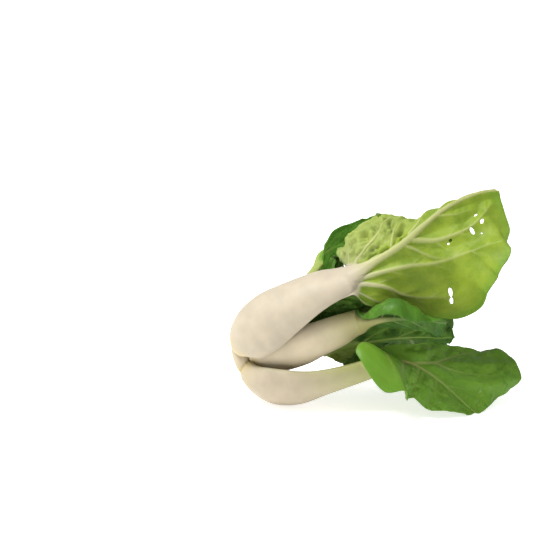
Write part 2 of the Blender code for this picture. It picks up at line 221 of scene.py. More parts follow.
def turned_stem(outline, rows, sides):
    """The outline, read at even steps, turned round the axis.  The radius swells and shrinks by about a
    hundredth, five and eleven times a turn, and rings a tenth of a millimetre high stand on the cut face:
    a wave of the distance out, times a bell curve of the distance from the face."""
    along, out = np.array(outline).T
    knots = np.concatenate(((0.0,), np.cumsum(np.hypot(np.diff(along), np.diff(out)))))
    t = np.linspace(0, knots[-1], rows)
    along = np.interp(t, knots, along)[:, None]
    out = np.interp(t, knots, out)[:, None]
    turn = np.linspace(0, 360, sides, endpoint=False)[None, :]
    arc = np.radians(turn)
    out = out * (1 + 0.012 * np.cos(5 * arc + 0.7) + 0.008 * np.cos(11 * arc))
    rings = 0.10 * np.cos(out * 2.1) * np.exp(-((along - outline[0][0]) / 0.3) ** 2)
    along = along + rings
    return FOOT + along[..., None] * AXIS + out[..., None] * radial(turn), along, out


def add_stem(name):
    """Squares round the stem; strips from one side of the ring straight to the other close its ends."""
    rows, sides = 90, 96
    points, along, out = turned_stem(STEM_OUTLINE, rows, sides)
    index = np.arange(rows * sides).reshape(rows, sides)
    after = np.roll(index, -1, axis=1)
    quads = np.stack((index[:-1], index[1:], after[1:], after[:-1]), -1).reshape(-1, 4)
    step = np.arange(sides // 2 - 1)
    for ring, order in ((index[0], (0, 1, 2, 3)), (index[-1], (3, 2, 1, 0))):
        strip = np.stack((ring[step], ring[step + 1], ring[sides - 2 - step], ring[sides - 1 - step]), -1)
        quads = np.vstack((quads, strip[:, order]))
    numbers = {"cut": (along < CUT_FACE).ravel(), "out": out.ravel()}
    return add_mesh(name, points.reshape(-1, 3), quads, numbers)


def cut_stem_material():
    """Ivory flesh with yellow clouds; the cut face is dry, mottled and browned toward its rim."""
    box = Paintbox("cut_stem")
    place = box.place()
    flesh = box.noise(place, 90.0, 2.0)
    body = box.mix(box.band(flesh, 0.42, 0.62), paint(176, 162, 134), paint(178, 160, 100))
    mottle = box.noise(place, 420.0, 5.0)
    cut = box.mix(box.band(mottle, 0.35, 0.7), paint(214, 196, 150), paint(176, 150, 104))
    rim = box.band(box.number("out"), 9.5, 12.6)
    cut = box.mix(rim, cut, paint(160, 132, 86))
    box.put(box.shader.inputs["Base Color"], box.mix(box.number("cut"), body, cut))
    box.shader.inputs["Roughness"].default_value = 0.55
    box.bump(mottle, 0.0004, 0.6)
    return box.material


stem = add_stem("stem_of_head")
stem.data.materials.append(cut_stem_material())
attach(stem, "root")
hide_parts("stem_base")

# ---------------------------------------------------------------------------------------------
# Outer leaf at the top: one thin sheet of living green with a thick cupped ivory stalk, which runs out
# into a raised pale midrib and side veins.  It grew in one piece and is held only by its root on the
# stem.  Its outside faces the viewer, its upper lobe is crinkled, and insects have bitten small holes.
# ---------------------------------------------------------------------------------------------
BLADE = 0.55                                # thickness between the veins
TIP_EXTENSION = 60.0                        # the midrib runs on straight for swept margins
FLOOR_GAP = 0.08                            # leaf faces that would go below this level lie along it
FLAT_MAP = "leaf"                           # name of the map that lays each leaf flat
FLAT_UNIT = 100.0                           # length of one unit of that map

# Stalk stations of each whorl: along the axis, out from the axis, half width, curl of a half.
STALKS = {
    "outer": ((5, 14, 10.5, 42), (8, 20, 14.5, 44), (17, 27.5, 18, 46), (31, 32, 19, 46),
              (50, 33, 17, 42), (74, 31.5, 13.5, 32), (92, 29, 12, 25)),
    "middle": ((12, 10.2, 7, 40), (19, 14.5, 11, 46), (29, 18, 15, 50), (45, 19.5, 15, 48),
               (60, 20, 13.5, 42), (75, 20, 11.5, 36), (88, 20, 10, 30)),
    "inner": ((15.5, 6.7, 4, 34), (19, 8.7, 5.4, 36), (24, 10.5, 6.6, 38), (30, 11.5, 7.4, 38),
              (37, 12.3, 7.4, 36), (44, 13, 7, 32), (50, 13.5, 6.5, 28)),
    "heart": ((20, 1.2, 2.5, 10), (28, 1.5, 4, 15), (40, 1.8, 5.5, 20), (52, 2, 6, 25),
              (64, 2, 6, 25), (74, 2.2, 5.5, 20), (82, 2.4, 5, 20)),
}
# Midrib thickness at the root, at a third of the stalk and at its neck.
RIB = {"outer": (6.5, 8.0, 6.5), "middle": (6.5, 8.0, 6.5), "inner": (4, 5, 4), "heart": (2.5, 3, 2.5)}

# A leaf is a table of sizes in millimetres and angles in degrees.  Minus is the half before the midrib in
# the sense of the turn round the axis, and plus is the half after it.
#   turn, out, along, face, half, minus_stalk, plus_stalk: stalk stations, where not those of the whorl;
#       face is the direction that the outside looks in, and a stalk half is its width and curl
#   neck_fold, neck_lean: fold of the last two stalk stations, and lean of the last one
#   roll: half rows for the last two stalk stations of the plus half, where the margin rolls over
#   spine: blade stations, each along, out, turn, face, fold of both halves, lean along the axis
#   minus, plus: half rows, each width, curl of the inner part, curl of the outer part, sweep to the tip
#   path, fold, widths, curls: a small leaf's stations without fold and lean, its one fold, the width of
#       each half, and the inner and outer curl of each half
#   lines: side veins through places given beyond the neck and out from the midrib
#   veins: side veins of each half, each where it leaves the midrib and where it meets the margin, as
#       shares of the blade, and how far it bows
#   holes: each beyond the neck, out from the midrib, two half sizes, slant; over the margin it is a bite
#   hills, ruffle, pillow, crinkle: heights of soft hills, of waves along the margin, of the sheet puffed
#       up between veins and of sharp creases; settled is the share of the puff that is taken off again
#   crinkled: the creases and a paler green only from here to here beyond the neck, on this half
#   pale_to, rib_width, rib_to: how far the stalk's ivory runs beyond the neck, the pale share of the
#       midrib's width, and where beyond that the midrib turns green
#   seed: start of the random numbers
OUTER_TOP = {
    "whorl": "outer", "turn": (60, 60, 60, 61, 62, 64, 66),
    "out": (14, 20.5, 28, 32.5, 34.5, 34.5, 31.5),
    "minus_stalk": ((12, 48), (21, 60), (28.5, 72), (29.5, 74), (24.5, 66), (18, 48), (15, 30)),
    "spine": ((104.5, 32.5, 68, 49, -4, 0), (114.5, 34, 71, 31, -4, 0), (129, 36.5, 73, 23, 7, 0),
              (140.5, 38.7, 77.5, 27, 16, 0), (151.5, 42, 82, 39, 20, 0), (164, 45, 89, 47, 25, 0),
              (178, 46.5, 97, 58, 31, 0), (190, 46.5, 104, 64, 32, 0), (199.5, 45, 110.5, 63, 30, 0)),
    "minus": ((25, 55, 50, -8), (41, 55, 45, -9), (58, 28, 28, -6), (64, 8, 6, -3), (61, -11, -5, 0),
              (58, -21, -6, 6), (51, -25, -5, 9), (36, -22, -2, 8), (12, -10, 0, 2)),
    "plus": ((34, 2, 12, -17), (44, 5, 32, -21), (47, 24, 50, -14), (53, 34, 54, -3), (53, 62, 55, 4),
             (50, 58, 46, 7), (44, 40, 40, 7), (30, 29, 24, 4), (9, 10, 10, 0)),
    "lines": (((8, -5), (18, -7.5), (36, -12.5), (54, -24), (67.5, -32.5), (87, -39), (98, -43)),
              ((2, -8), (8.5, -9.5), (16, -15.5), (23, -25), (39, -40), (52, -49)),
              ((-2, -11), (2, -12.5), (10, -23.5), (18, -36)), ((-4, -13), (0, -15), (5, -25), (9, -34)),
              ((-8, -13), (-4, -15.5), (1, -22)), ((44, -2), (48, -9), (54, -21), (63, -29)),
              ((50, -2), (62, -13.5), (74, -18.5), (88, -19.5), (101, -15), (109, -10)),
              ((72, -1), (82, -7), (93, -9)),
              ((5, 5), (12, 9.5), (21, 11), (28.5, 14.5), (39, 22), (48, 27), (57, 36)),
              ((36, 3), (41, 9), (50, 17), (60, 25)), ((50, 2), (59, 4.5), (64, 8), (72, 15), (82, 24)),
              ((0, 6), (5, 14), (8, 26), (9, 36)), ((74, 1), (84, 7), (95, 14)),
              ((90, 1), (99, 5), (106, 8))),
    "holes": ((94, -13.5, 1.8, 0.8, 20), (95, -20, 2.0, 1.1, 30), (84.5, -22.5, 2.6, 1.5, 75),
              (89.5, -27, 0.8, 0.8, 0), (67, -18.7, 1.2, 0.9, 0), (64.5, -19.2, 0.8, 0.7, 0),
              (48.3, -43.6, 1.0, 2.8, -10), (46.4, -48.6, 0.9, 2.9, -28)),
    "hills": 1.2, "ruffle": 1.0, "pillow": 1.7, "crinkle": 2.6, "crinkled": (-8, 45, 1), "pale_to": 5,
    "seed": 11,
}


def lengths(points):
    """Distance along a line of points, from the first one to each."""
    return np.concatenate(((0.0,), np.cumsum(np.linalg.norm(np.diff(points, axis=0), axis=1))))


def through(knots, values, t, steady=False):
    """Smooth curve through the values at the knots, read at t: cubic pieces whose slope at a knot is the
    weighted mean of the slopes beside it.  A steady curve never swings past a knot: its slope there is at
    most 1.7 times the gentler neighbour's, and none where the neighbours' slopes have opposite signs."""
    step = np.diff(knots)[:, None]
    slope = np.diff(values, axis=0) / step
    middle = (slope[:-1] * step[1:] + slope[1:] * step[:-1]) / (step[1:] + step[:-1])
    if steady:
        gentle = 1.7 * np.minimum(np.abs(slope[:-1]), np.abs(slope[1:]))
        limited = np.sign(middle) * np.minimum(np.abs(middle), gentle)
        middle = np.where(slope[:-1] * slope[1:] > 0, limited, 0.0)
    tangent = np.vstack((slope[:1], middle, slope[-1:]))
    i = np.clip(np.searchsorted(knots, t, side="right") - 1, 0, len(knots) - 2)
    span = (knots[i + 1] - knots[i])[:, None]
    x = (t - knots[i])[:, None] / span
    near = (1 + 2 * x) * (1 - x) ** 2 * values[i] + x * (1 - x) ** 2 * span * tangent[i]
    far = x * x * (3 - 2 * x) * values[i + 1] + x * x * (x - 1) * span * tangent[i + 1]
    return near + far


def stalk_rows(leaf):
    """Spine, half rows and half widths of the midrib on the stalk: the whorl's own unless the leaf states
    others.  Each half curls by the same amount in its inner and outer part."""
    base = np.array(STALKS[leaf["whorl"]], float)
    turn = np.array(leaf["turn"], float)
    along = leaf.get("along", base[:, 0])
    out = leaf.get("out", base[:, 1])
    fold = np.zeros(len(base))
    fold[-2:] = leaf.get("neck_fold", (0, 0))
    lean = np.zeros(len(base))
    lean[-1] = leaf.get("neck_lean", 0.0)
    spine = np.column_stack((along, out, turn, leaf.get("face", turn), fold, lean))
    base[:, 2] = leaf.get("half", base[:, 2])
    halves = []
    for key in ("minus_stalk", "plus_stalk"):
        half, curl = np.array(leaf.get(key, base[:, 2:]), float).T
        halves.append(np.column_stack((half, 0.5 * curl, 0.5 * curl, np.zeros(len(base)))))
    return spine, halves[0], halves[1], 0.5 * (halves[0][:, 0] + halves[1][:, 0])


# A small blade's half, from neck to tip: share of its greatest width, sweep.
SMALL_OUTLINE = ((.5, -6), (.88, -2), (1, 1.8), (.93, 4.5), (.65, 3.8), (.14, 0))


def small_blade(leaf):
    """Blade rows of a small leaf: the shared outline, scaled by the leaf's own widths."""
    share = np.array(SMALL_OUTLINE)
    count = len(share)
    path = np.array(leaf["path"], float)
    spine = np.column_stack((path, np.full(count, leaf["fold"]), np.zeros(count)))
    halves = []
    for side in (0, 1):
        width = leaf["widths"][side] * share[:, 0]
        inner, outer = leaf["curls"][2 * side:2 * side + 2]
        halves.append(np.column_stack((width, np.full(count, inner), np.full(count, outer), share[:, 1])))
    return spine, halves[0], halves[1]


def leaf_rows(leaf):
    """All station rows of a leaf: spine, minus half and plus half, and the midrib's half widths on the
    stalk."""
    spine, minus_half, plus_half, rib_half = stalk_rows(leaf)
    if "roll" in leaf:
        plus_half[-2:] = leaf["roll"]
    if "path" in leaf:
        blade, minus, plus = small_blade(leaf)
    else:
        blade, minus, plus = (np.array(leaf[key], float) for key in ("spine", "minus", "plus"))
    return np.vstack((spine, blade)), np.vstack((minus_half, minus)), np.vstack((plus_half, plus)), rib_half


def extended(rows):
    """The rows with the last one once more, for the end of the tip extension."""
    return np.vstack((rows, rows[-1:]))


def midrib(leaf):
    """The midrib as 300 places on a smooth curve through the stations, with what the leaf is like at each:
    its directions across and inward, square to the curve, and its fold and half rows.  Widths are squared
    while they are smoothed, so that the outline ends round."""
    spine, minus, plus, rib_half = leaf_rows(leaf)
    points = FOOT + spine[:, :1] * AXIS + spine[:, 1:2] * radial(spine[:, 2])
    knots = lengths(points)
    t = np.linspace(0, knots[-1], 300)
    position = through(knots, points, t)
    x = lengths(position)
    along = unit(np.gradient(position, x, axis=0))
    across = through(knots, radial(spine[:, 3] + 90.0) + spine[:, 5:6] * AXIS, t)
    across = unit(across - (across * along).sum(1)[:, None] * along)
    values = np.column_stack((spine[:, 4], minus, plus))
    widths = (1, 5)
    values[:, widths] **= 2
    values = through(knots, values, t, steady=True)
    values[:, widths] = np.sqrt(np.clip(values[:, widths], 0.04, None))
    stalk_x = np.interp(knots[:len(rib_half)], t, x)
    neck_x = float(stalk_x[-1])
    rib = rib_sizes(leaf, x, stalk_x, rib_half)
    beyond = np.vstack((position, position[-1] + TIP_EXTENSION * along[-1]))
    return {"x": np.append(x, x[-1] + TIP_EXTENSION), "length": x[-1], "neck": neck_x, "position": beyond,
            "across": extended(across), "inward": extended(np.cross(across, along)),
            "values": extended(values), "rib": extended(rib)}


def rib_sizes(leaf, x, stalk_x, rib_half):
    """Half width and thickness of the midrib, and how far it spreads to the margins: all of the way on the
    stalk up to 12 mm before the neck, and not at all from 2 mm beyond it.  On the blade the half width
    falls quickly, as a bell curve 10 mm long, and slowly, as a power of the length left, to 0.7 mm at the
    tip; the thickness falls in a like way to that of the blade."""
    neck = stalk_x[-1]
    beyond = np.clip(x - neck, 0, None)
    left = 1 - beyond / (x[-1] - neck)
    half = np.interp(x, stalk_x, rib_half)
    blade_half = 0.7 + (half - 3.1) * np.exp(-(beyond / 10) ** 1.4) + 2.4 * left ** 1.5
    half = np.where(beyond > 0, blade_half, half)
    thick = RIB[leaf["whorl"]]
    stalk_thick = np.interp(x, (0, 0.35 * neck, neck), thick)
    falling = left * (0.4 + 0.6 * np.exp(-(beyond / 15) ** 1.4))
    blade_thick = BLADE + (thick[2] - BLADE) * falling
    spread = np.clip((neck + 2 - x) / 14, 0, 1)
    return np.column_stack((half, np.where(beyond > 0, blade_thick, stalk_thick), spread))


def rounded(width, full, rib_half, spread):
    """Share of the midrib's thickness at a place across the leaf: 1 in the middle and 0 where the rib ends,
    along a half circle on the stalk and a slightly leaner curve on the blade."""
    reach = rib_half + spread * np.clip(full - rib_half, 0, None)
    return np.clip(1 - (width / reach) ** 2, 0, None) ** (0.75 - 0.25 * spread)


def read(rib, key, x):
    """The midrib's rows of that name at the lengths x."""
    rows = rib[key]
    return np.stack([np.interp(x, rib["x"], rows[:, i]) for i in range(rows.shape[1])], -1)


def flat_leaf(rib, rows, columns):
    """The leaf laid flat: rows step from root to tip, a quarter of them on the stalk, and columns step from
    margin to margin.  Rows crowd toward the tip and columns toward the midrib.  The last 7 mm narrow as a
    half circle does, to a blunt end, and a row is swept along the leaf by a power of the share of its
    width."""
    stalk_share = 0.25
    tip = 7.0
    blunt = 0.06
    u = np.linspace(0, 1, rows)
    blade = np.clip((u - stalk_share) / (1 - stalk_share), 0, 1)
    blade_x = rib["neck"] + (rib["length"] - rib["neck"]) * (1 - (1 - blade) ** 1.25)
    x0 = np.where(u < stalk_share, rib["neck"] * u / stalk_share, blade_x)
    v = np.linspace(-1, 1, columns)
    share = np.abs(v) ** 1.15
    x0, share = np.meshgrid(x0, share, indexing="ij")
    minus = np.broadcast_to(v < 0, x0.shape)
    row = read(rib, "values", x0)
    half = np.where(minus[..., None], row[..., 1:5], row[..., 5:9])
    round_tip = np.clip((rib["length"] - x0) / tip, 0, 1)
    round_tip = blunt + (1 - blunt) * np.sqrt(1 - (1 - round_tip) ** 2)
    full = half[..., 0] * round_tip
    x = np.clip(x0 + half[..., 3] * share ** 1.5, 0, rib["length"] + TIP_EXTENSION)
    return {"x0": x0, "x": x, "share": share, "side": np.where(minus, -1.0, 1.0), "full": full,
            "width": full * share, "fold": row[..., 0], "half": half}


def bent(rib, flat):
    """Upper face of the leaf.  Each half starts from the midrib at the fold angle and bends in two arcs, the
    inner and the outer one, so a point lies at the sum of two chords turned by the angle gone so far."""
    middle = 0.5 * flat["half"][..., 0]
    near = np.minimum(flat["width"], middle)
    far = flat["width"] - near
    start = np.radians(flat["fold"])
    bend_near = np.radians(flat["half"][..., 1]) / middle * near
    bend_far = np.radians(flat["half"][..., 2]) / middle * far
    chord_near = near * np.sinc(bend_near / math.tau)
    chord_far = far * np.sinc(bend_far / math.tau)
    angle_near = start + bend_near / 2
    angle_far = start + bend_near + bend_far / 2
    out = flat["side"] * (chord_near * np.cos(angle_near) + chord_far * np.cos(angle_far))
    inn = chord_near * np.sin(angle_near) + chord_far * np.sin(angle_far)
    position, across, inward = (read(rib, key, flat["x"]) for key in ("position", "across", "inward"))
    return position + out[..., None] * across + inn[..., None] * inward


def outward(points):
    """Unit normals toward the outside of the head, from the steps along and across the sheet."""
    normal = np.cross(np.gradient(points, axis=0), np.gradient(points, axis=1))
    return normal / np.maximum(np.linalg.norm(normal, axis=-1, keepdims=True), 1e-9)


VEIN_POINTS = 16
TWIG_POINTS = 6
TWIGS_FROM = (3, 5, 7, 9, 11, 13)           # points of a vein that a twig leaves from


def margin(rib, share, side):
    """Flat place of one side's margin at a share of the blade's length."""
    x0 = rib["neck"] + share * (rib["length"] - rib["neck"])
    row = read(rib, "values", np.array((x0,)))[0]
    half = row[1:5] if side < 0 else row[5:9]
    return np.array((x0 + half[3], side * half[0]))


def arch(start, end, bow, count, thick, thin):
    """Quadratic curve from start to end that bows toward the root, with a radius that falls along it."""
    t = np.linspace(0, 1, count)[:, None]
    middle = 0.5 * (start + end) - np.array((bow, 0.0))
    line = (1 - t) ** 2 * start + 2 * t * (1 - t) * middle + t * t * end
    return np.column_stack((line, thin + (thick - thin) * (1 - t) ** 1.4))


def drawn(points, rib):
    """Smooth vein through places given beyond the neck and out from the midrib; long ones start thicker."""
    points = np.array(points, float) + (rib["neck"], 0.0)
    knots = lengths(points)
    t = np.linspace(0, knots[-1], VEIN_POINTS)
    thick = np.clip(knots[-1] / 50.0, 0.5, 1.15)
    radius = 0.3 + thick * (1 - t / knots[-1]) ** 0.9
    return np.column_stack((through(knots, points, t), radius))


def vein_lines(leaf, rib):
    """Side veins, drawn or arched from the midrib nearly to the margin, and twigs that leave them slantwise
    to one side and the other in turn, each shorter than the one before."""
    length = rib["length"] - rib["neck"]
    main = [drawn(points, rib) for points in leaf.get("lines", ())]
    for side, veins in zip((-1, 1), leaf.get("veins", ())):
        for leave, meet, bow in veins:
            start = np.array((rib["neck"] + leave * length, 0.0))
            end = margin(rib, meet, side)
            end = start + 0.96 * (end - start)
            size = np.clip(np.linalg.norm(end - start) / 60.0, 0.35, 1.0)
            main.append(arch(start, end, bow, VEIN_POINTS, 1.5 * size, 0.28))
    twigs = []
    for number, line in enumerate(main):
        size = np.clip(np.linalg.norm(line[-1, :2] - line[0, :2]) / 60.0, 0.3, 1.0)
        for step, place in enumerate(TWIGS_FROM):
            turn = math.radians(48 if (step + number) % 2 else -52)
            heading = unit(line[place + 1, :2] - line[place - 1, :2])
            turned = np.array((heading[0] * math.cos(turn) - heading[1] * math.sin(turn),
                               heading[0] * math.sin(turn) + heading[1] * math.cos(turn)))
            finish = line[place, :2] + (14 - 1.2 * step) * size * (0.7 * turned + 0.3 * heading)
            twigs.append(arch(line[place, :2], finish, 0.0, TWIG_POINTS, 0.4 * size + 0.1, 0.12))
    return main, twigs


def vein_field(x, w, lines):
    """For every point of the flat leaf: distance to the nearest vein, and the height of a rounded ridge, the
    vein's radius times a bell curve of the distance in radii (never under 0.8 mm wide).  A vein is felt up
    to 12 mm outside its own box."""
    felt = 12
    nearest = np.full(x.size, 1e3)
    ridge = np.zeros(x.size)
    flat = np.column_stack((x.ravel(), w.ravel()))
    for line in lines:
        low = line[:, :2].min(0) - felt
        high = line[:, :2].max(0) + felt
        near = np.flatnonzero(((flat > low) & (flat < high)).all(1))
        begin, step = line[:-1], np.diff(line, axis=0)
        gap = flat[near][:, None, :] - begin[None, :, :2]
        t = np.clip((gap * step[:, :2]).sum(-1) / (step[:, :2] ** 2).sum(-1), 0, 1)
        distance = np.linalg.norm(gap - t[..., None] * step[:, :2], axis=-1)
        radius = begin[:, 2] + t * step[:, 2]
        nearest[near] = np.minimum(nearest[near], distance.min(1))
        reach = np.maximum(radius, 0.8)
        ridge[near] = np.maximum(ridge[near], (radius * np.exp(-(distance / reach) ** 2)).max(1))
    return nearest.reshape(x.shape), ridge.reshape(x.shape)


def step_up(value, low, high):
    """Smooth step from 0 at low to 1 at high."""
    t = np.clip((value - low) / (high - low), 0, 1)
    return t * t * (3 - 2 * t)


def laid_down(points, lowest):
    """Lifts what would go below a level so that it lies along it.  The height becomes half the sum of itself
    and the root of its square plus 0.8 squared, less a little; far above the level it stays as it is."""
    soft = 0.8
    height = points[..., 2] - lowest
    lifted = 0.5 * (height + np.sqrt(height ** 2 + soft ** 2)) - 0.1 * soft
    points[..., 2] = lowest + np.where(height > 4 * soft, height, lifted)
    return points


def sheet_faces(kept):
    """Faces of a closed sheet: under faces, upper faces turned over, and a wall wherever a kept square has
    no kept neighbour.  Corner numbers of the upper sheet follow those of the under sheet."""
    rows, columns = kept.shape[0] + 1, kept.shape[1] + 1
    index = np.arange(rows * columns).reshape(rows, columns)
    corners = (index[:-1, :-1], index[1:, :-1], index[1:, 1:], index[:-1, 1:])
    upper = rows * columns
    under_quads = np.stack(corners, -1)[kept]
    quads = [under_quads, under_quads[:, ::-1] + upper]
    around = np.pad(kept, 1)
    neighbours = (around[1:-1, :-2], around[2:, 1:-1], around[1:-1, 2:], around[:-2, 1:-1])
    for number, neighbour in enumerate(neighbours):
        open_side = kept & ~neighbour
        first = corners[number][open_side]
        second = corners[(number + 1) % 4][open_side]
        quads.append(np.stack((second, first, first + upper, second + upper), -1))
    return np.vstack(quads)


def bitten(flat, holes, neck):
    """Cuts oval holes: squares whose corners lie inside on average are left out, and the corners round them
    move straight out from the middle of the hole to its rim.  Returns which squares are kept."""
    kept = np.ones(np.array(flat["x"].shape) - 1, bool)
    for beyond, out, half_long, half_wide, slant in holes:
        side = math.copysign(1.0, out)
        along = flat["x"] - (neck + beyond)
        across = flat["side"] * flat["width"] - out
        turned = math.radians(slant)
        long_way = along * math.cos(turned) + across * math.sin(turned)
        wide_way = across * math.cos(turned) - along * math.sin(turned)
        far = np.maximum(np.hypot(long_way / half_long, wide_way / half_wide), 0.05)
        gone = 0.25 * (far[:-1, :-1] + far[1:, :-1] + far[:-1, 1:] + far[1:, 1:]) < 1
        gone &= flat["side"][:-1, :-1] == side
        around = np.pad(gone, 1)
        touching = around[:-1, :-1].astype(int) + around[1:, :-1] + around[:-1, 1:] + around[1:, 1:]
        rim = (touching > 0) & (touching < 4)
        flat["x"] = flat["x"] + np.where(rim, along / far - along, 0.0)
        flat["width"] = flat["width"] + np.where(rim, side * (across / far - across), 0.0)
        kept &= ~gone
    return kept


def creased_share(leaf, rib, flat):
    """Where the sheet is creased: all over, or only on a stated stretch of one half, with soft ends."""
    if "crinkled" not in leaf:
        return np.ones(flat["x"].shape)
    low, high, side = leaf["crinkled"]
    beyond = flat["x0"] - rib["neck"]
    return (flat["side"] == side) * step_up(beyond, low - 8, low) * (1 - step_up(beyond, high, high + 25))


def relief(leaf, flat, rib_half, nearest, twig_nearest, creased):
    """Height of the sheet over its smooth shape.  It is the sum of random hills in two sizes, higher toward
    the margin; waves along the margin; and creases, which are sharp where random hills in two sizes pass
    through nought.  The sheet is puffed the other way between veins, by one less a bell curve of the
    distance to the nearest vein and, a third as much, to the nearest twig."""
    x, across, seed = flat["x"], flat["across"], leaf["seed"]
    hills = leaf["hills"] * (wander(x, across, 24, seed) + 0.45 * wander(x, across, 10, seed + 1))
    waves = wander(x, 40 * flat["side"], 8, seed + 2)
    ruffle = leaf["ruffle"] * step_up(flat["share"], 0.72, 1.0) * waves
    crease = 1 - 2 * np.abs(wander(x, across, 7, seed + 3))
    crease += 0.3 - 0.6 * np.abs(wander(x, across, 3.5, seed + 4))
    off_vein = np.minimum(nearest, np.clip(flat["width"] - 0.6 * rib_half, 0, None))
    crinkle = leaf.get("crinkle", 0.0) * crease * step_up(off_vein, 0.5, 3.0) * creased
    off_twig = np.minimum(off_vein, twig_nearest)
    puff = 1 - np.exp(-(off_vein / 5.0) ** 2) + 0.35 * (1 - np.exp(-(off_twig / 2.5) ** 2))
    pillow = leaf["pillow"] * (puff - leaf.get("settled", 0.5))
    return hills * (0.3 + 0.7 * flat["share"]) + ruffle + crinkle - pillow


def pale_share(leaf, rib, flat, rib_half, ridge, twig_ridge, creased):
    """How pale the leaf is, from 0 on the green blade to 1 on the stalk.  The pale width is that of the
    whole stalk and narrows round the neck to that of the midrib, which may turn three quarters green
    further on.  Side veins are pale to 0.8, twigs to 0.42 and a crinkled stretch to 0.3."""
    beyond = flat["x0"] - rib["neck"] - leaf.get("pale_to", 0.0)
    reach = rib_half * leaf.get("rib_width", 1.0) + flat["full"] * (1 - step_up(beyond, -9, 9))
    stalk = 1 - step_up(flat["width"], 0.62 * reach, reach + 0.4)
    if "rib_to" in leaf:
        stalk = stalk * (1 - 0.75 * step_up(beyond, leaf["rib_to"] - 8, leaf["rib_to"] + 8))
    shares = [stalk, 0.8 * step_up(ridge, 0.2, 0.9), 0.42 * step_up(twig_ridge, 0.08, 0.45)]
    if "crinkled" in leaf:
        shares.append(0.3 * creased * step_up(flat["width"], 2, 8))
    return np.maximum.reduce(shares)


def add_leaf(name, node, leaf, rows, columns, material):
    """Bends a flat leaf into place, raises its veins, gives it two faces and closes its margin.  Relief
    fades in from just before the neck to 22 mm beyond it.  A vein stands out by three quarters of its
    height on the outside of the leaf and moves the inside by the other quarter.  Each point keeps how
    pale it is, which face it is on, its share of the stalk's length and how far in from the edge it is."""
    rib = midrib(leaf)
    flat = flat_leaf(rib, rows, columns)
    kept = bitten(flat, leaf.get("holes", ()), rib["neck"])
    flat["across"] = flat["side"] * flat["width"]
    main, twigs = vein_lines(leaf, rib)
    nearest, ridge = vein_field(flat["x"], flat["across"], main)
    twig_nearest, twig_ridge = vein_field(flat["x"], flat["across"], twigs)
    rib_half, rib_thick, spread = np.moveaxis(read(rib, "rib", flat["x0"]), -1, 0)
    bulge = rounded(flat["width"], flat["full"], rib_half, spread)
    thick = BLADE + np.clip(rib_thick - BLADE, 0, None) * bulge
    creased = creased_share(leaf, rib, flat)
    blade = step_up(flat["x0"], rib["neck"] - 4, rib["neck"] + 22)
    height = blade * relief(leaf, flat, rib_half, nearest, twig_nearest, creased)
    smooth = bent(rib, flat)
    sheet = laid_down(smooth + height[..., None] * outward(smooth), FLOOR_GAP + BLADE)
    normal = outward(sheet)
    vein = blade * np.maximum(ridge, 0.8 * twig_ridge) * (1 - bulge)
    upper = sheet + (0.25 * vein)[..., None] * normal
    under = laid_down(sheet + (thick + 0.75 * vein)[..., None] * normal, FLOOR_GAP)
    pale = pale_share(leaf, rib, flat, rib_half, ridge, twig_ridge, creased)
    edge = np.minimum(flat["full"] - flat["width"], 0.7 * (rib["length"] - flat["x0"]))
    numbers = {"pale": np.tile(pale.ravel(), 2), "upper": np.repeat((0.0, 1.0), pale.size),
               "along": np.tile((flat["x0"] / rib["neck"]).ravel(), 2), "edge": np.tile(edge.ravel(), 2)}
    quads = sheet_faces(kept)
    made = add_mesh(name, np.vstack((under.reshape(-1, 3), upper.reshape(-1, 3))), quads, numbers)
    spot = np.column_stack((flat["across"].ravel(), flat["x"].ravel())) / FLAT_UNIT + 1.0
    laid_flat = made.data.uv_layers.new(name=FLAT_MAP)
    laid_flat.data.foreach_set("uv", np.vstack((spot, spot))[quads.ravel()].astype(np.float32).ravel())
    made.data.materials.append(material)
    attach(made, "root")
    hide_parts(node)


def between(first, second, share):
    """Screen colour that lies that share of the way from the first to the second."""
    return tuple(round((1 - share) * a + share * b) for a, b in zip(first, second))


def blade_colours(box, place, face, greens, vein):
    """Green in soft light and dark patches, darker toward the margin, under a faint net of fine veins that
    runs along the borders of cells in two sizes.  Returns the green, the veins' own green and the net."""
    upper, upper_dark, under, under_dark = greens
    patches = box.band(box.noise(place, 7.0, 4.0), 0.36, 0.62)
    light = box.mix(face, paint(*under), paint(*upper))
    dark = box.mix(face, paint(*under_dark), paint(*upper_dark))
    green = box.mix(patches, dark, light)
    under_rim = (round(part * share) for part, share in zip(under_dark, (0.7, 0.95, 0.9)))
    rim = box.mix(face, paint(*under_rim), paint(*upper_dark))
    green = box.mix(box.band(box.number("edge"), 0.0, 9.0, 0.5, 0.0), green, rim)
    coarse = box.band(box.cells(box.warped(place, 9.0, 0.09), 24.0), 0.0, 0.13, 1.0, 0.0)
    fine = box.band(box.cells(box.warped(place, 30.0, 0.03), 62.0), 0.0, 0.16, 1.0, 0.0)
    net = box.maths("MAXIMUM", box.maths("MULTIPLY", coarse, 0.13), box.maths("MULTIPLY", fine, 0.08))
    pale_green = box.mix(face, paint(*between(under, vein, 0.5)), paint(*between(upper, vein, 0.4)))
    return box.mix(net, green, pale_green), pale_green, net


